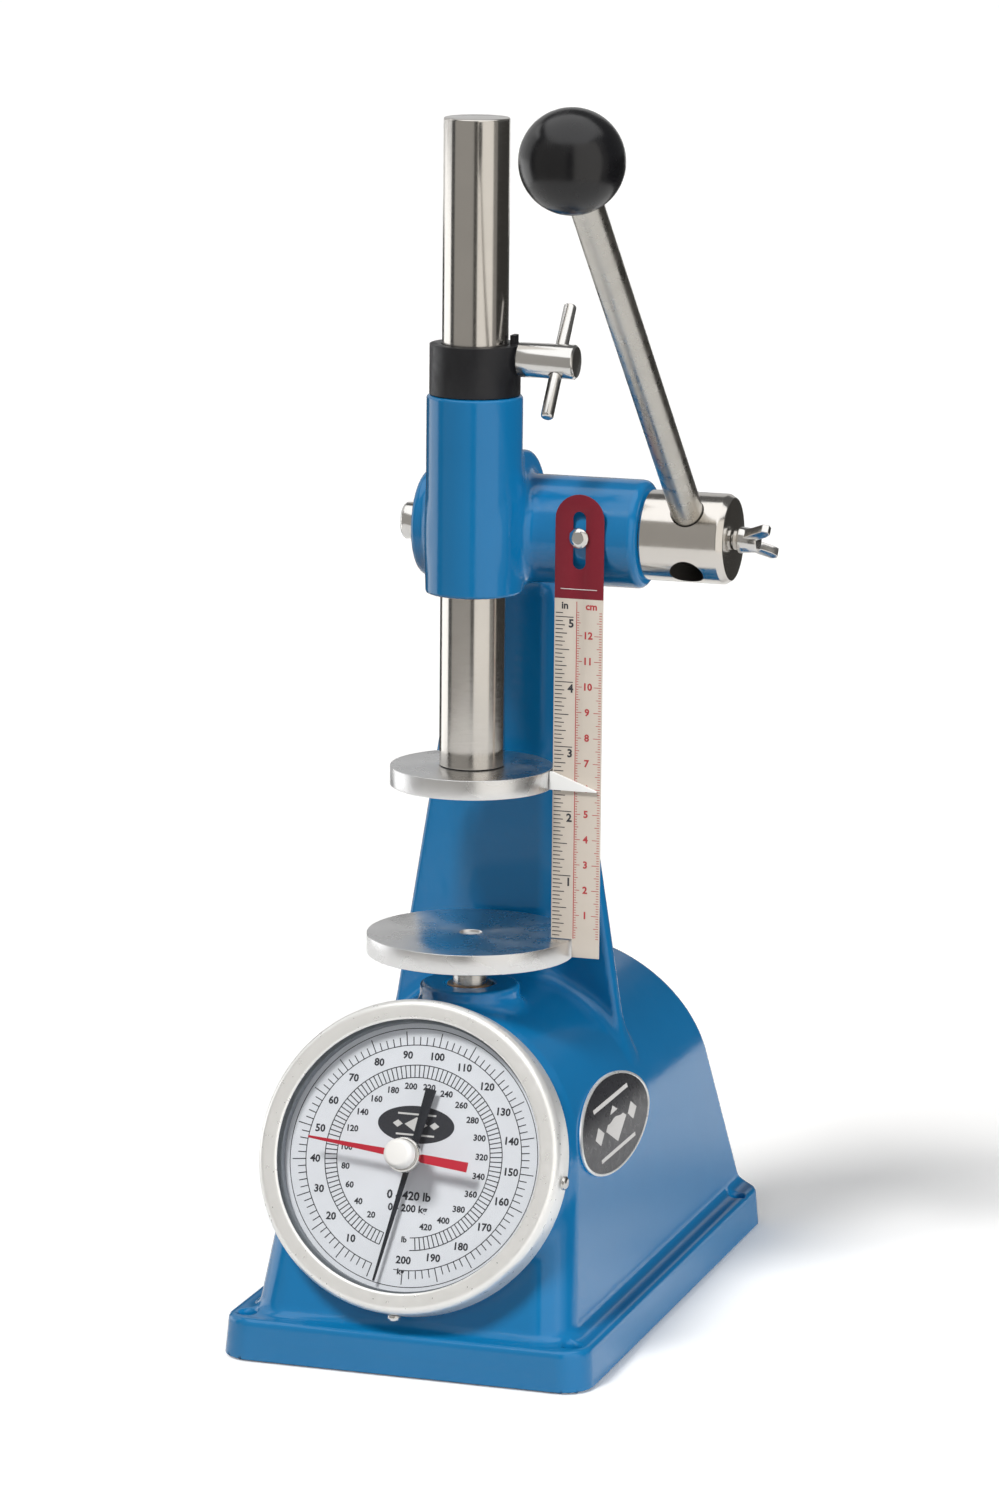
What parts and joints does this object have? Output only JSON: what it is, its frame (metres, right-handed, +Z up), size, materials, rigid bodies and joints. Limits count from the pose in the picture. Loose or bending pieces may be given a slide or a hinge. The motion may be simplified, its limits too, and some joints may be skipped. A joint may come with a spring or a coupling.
{
  "type": "arbor press",
  "caption": "Bench arbor press for testing springs: a rack ram driven by a side lever, over a weighed platen with a dial and a length ruler.",
  "frame": {"origin": "on the underside of the base, straight below the axis of the ram and of the platen's spindle", "axes": "+Z up along the ram, +X to the side that the lever is on, -Y to the front where the dial is"},
  "size_m": [0.1878, 0.3412, 0.4911],
  "materials": {
    "blue_paint": "gloss enamel on a casting",
    "zinc_plate": "zinc plated",
    "black_enamel": "satin black, with a bright rim",
    "spring_steel": "oiled",
    "ground_steel": "ground and polished",
    "turned_aluminium": "turned",
    "bezel_aluminium": "satin, off-white",
    "case_black": "satin black",
    "movement_brass": "lacquered",
    "dial_white": "matt, printed in black",
    "pointer_black": "satin black",
    "hand_red": "satin red",
    "clear_lens": "clear",
    "gasket_rubber": "black",
    "white_plastic": "white",
    "pointer_white": "white",
    "ruler_cream": "cream, with a dark red head",
    "black_oxide": "blackened steel",
    "bush_bronze": "oiled bronze",
    "black_phenolic": "moulded, glossy black"
  },
  "bodies": {
    "frame": {"frame_casting": "blue_paint", "bottom_cover": "zinc_plate", "cover_screw_1": "zinc_plate", "cover_screw_2": "zinc_plate", "cover_screw_3": "zinc_plate", "cover_screw_4": "zinc_plate", "flank_plate": "black_enamel", "spring_seat": "zinc_plate", "weigh_spring": "spring_steel", "spindle_bush": "bush_bronze", "gauge_case": "case_black", "movement_plate": "movement_brass", "movement_bridge": "movement_brass", "dial_plate": "dial_white", "lens_gasket": "gasket_rubber", "lens": "clear_lens", "bezel": "bezel_aluminium", "bezel_screw_1": "ground_steel", "bezel_screw_2": "ground_steel", "ruler_screw": "ground_steel", "right_bush": "bush_bronze", "left_bush": "bush_bronze"},
    "lever": {"pinion_shaft": "ground_steel", "shaft_end_screw": "ground_steel", "lever_hub": "ground_steel", "lever_rod": "ground_steel", "ball_knob": "black_phenolic"},
    "wing_screw": {"wing_screw": "ground_steel"},
    "ram": {"ram": "ground_steel", "upper_platen": "turned_aluminium", "platen_screw": "zinc_plate", "platen_pointer": "pointer_white"},
    "collar": {"stop_collar": "black_oxide"},
    "clamp": {"clamp_screw": "ground_steel", "clamp_pin": "ground_steel"},
    "platen": {"lower_platen": "turned_aluminium", "spindle": "ground_steel", "spring_cap": "zinc_plate", "spindle_arm": "zinc_plate"},
    "ruler": {"ruler": "ruler_cream"},
    "gauge_rack": {"gauge_rack": "movement_brass"},
    "lay_gear": {"lay_gear": "movement_brass"},
    "pointer": {"pointer_arbor": "ground_steel", "main_pointer": "pointer_black"},
    "red_hand": {"red_hand": "hand_red", "hand_collar": "ground_steel", "hand_knob": "white_plastic"}
  },
  "joints": [
    {"name": "lever_turn", "type": "hinge", "parent": "frame", "child": "lever", "pos_m": [0.0823, 0.0222, 0.3132], "axis": [1, 0, 0], "range_deg": [-340, 0]},
    {"name": "wing_screw_turn", "type": "hinge", "parent": "lever", "child": "wing_screw", "pos_m": [0.105, 0.0222, 0.3132], "axis": [1, 0, 0], "range_deg": [0, 360]},
    {"name": "ram_slide", "type": "slide", "parent": "frame", "child": "ram", "axis": [0, 0, 1], "range_m": [0, 0.0661]},
    {"name": "collar_slide", "type": "slide", "parent": "ram", "child": "collar", "axis": [0, 0, 1], "range_m": [0, 0.082]},
    {"name": "clamp_turn", "type": "hinge", "parent": "collar", "child": "clamp", "pos_m": [0.0334, 0, 0.3814], "axis": [1, 0, 0], "range_deg": [0, 540]},
    {"name": "platen_slide", "type": "slide", "parent": "frame", "child": "platen", "axis": [0, 0, 1], "range_m": [-0.0072, 0], "stiffness_N_per_m": 3000, "springref_m": 0.002, "deforming": ["weigh_spring"]},
    {"name": "ruler_slide", "type": "slide", "parent": "frame", "child": "ruler", "axis": [0, 0, 1], "range_m": [-0.0073, 0]},
    {"name": "gauge_rack_slide", "type": "slide", "parent": "frame", "child": "gauge_rack", "axis": [0, 0.3338, 0.9426], "range_m": [-0.0077, 0]},
    {"name": "lay_gear_turn", "type": "hinge", "parent": "frame", "child": "lay_gear", "pos_m": [-0.0018, -0.07654, 0.06892], "axis": [0, -0.9426, 0.3338], "range_deg": [0, 110]},
    {"name": "pointer_turn", "type": "hinge", "parent": "frame", "child": "pointer", "pos_m": [-0.0018, -0.0712, 0.084], "axis": [0, -0.9426, 0.3338], "range_deg": [-330, 0]},
    {"name": "red_hand_turn", "type": "hinge", "parent": "frame", "child": "red_hand", "pos_m": [-0.0018, -0.0712, 0.084], "axis": [0, -0.9426, 0.3338], "continuous": true}
  ],
  "couplings": [
    {"joint": "ram_slide", "follows": "lever_turn", "m_per_rad": -0.011113},
    {"joint": "ruler_slide", "follows": "platen_slide", "ratio": 1},
    {"joint": "gauge_rack_slide", "follows": "platen_slide", "ratio": 1.0608},
    {"joint": "lay_gear_turn", "follows": "platen_slide", "rad_per_m": -265.21},
    {"joint": "pointer_turn", "follows": "platen_slide", "rad_per_m": 795.64}
  ]
}
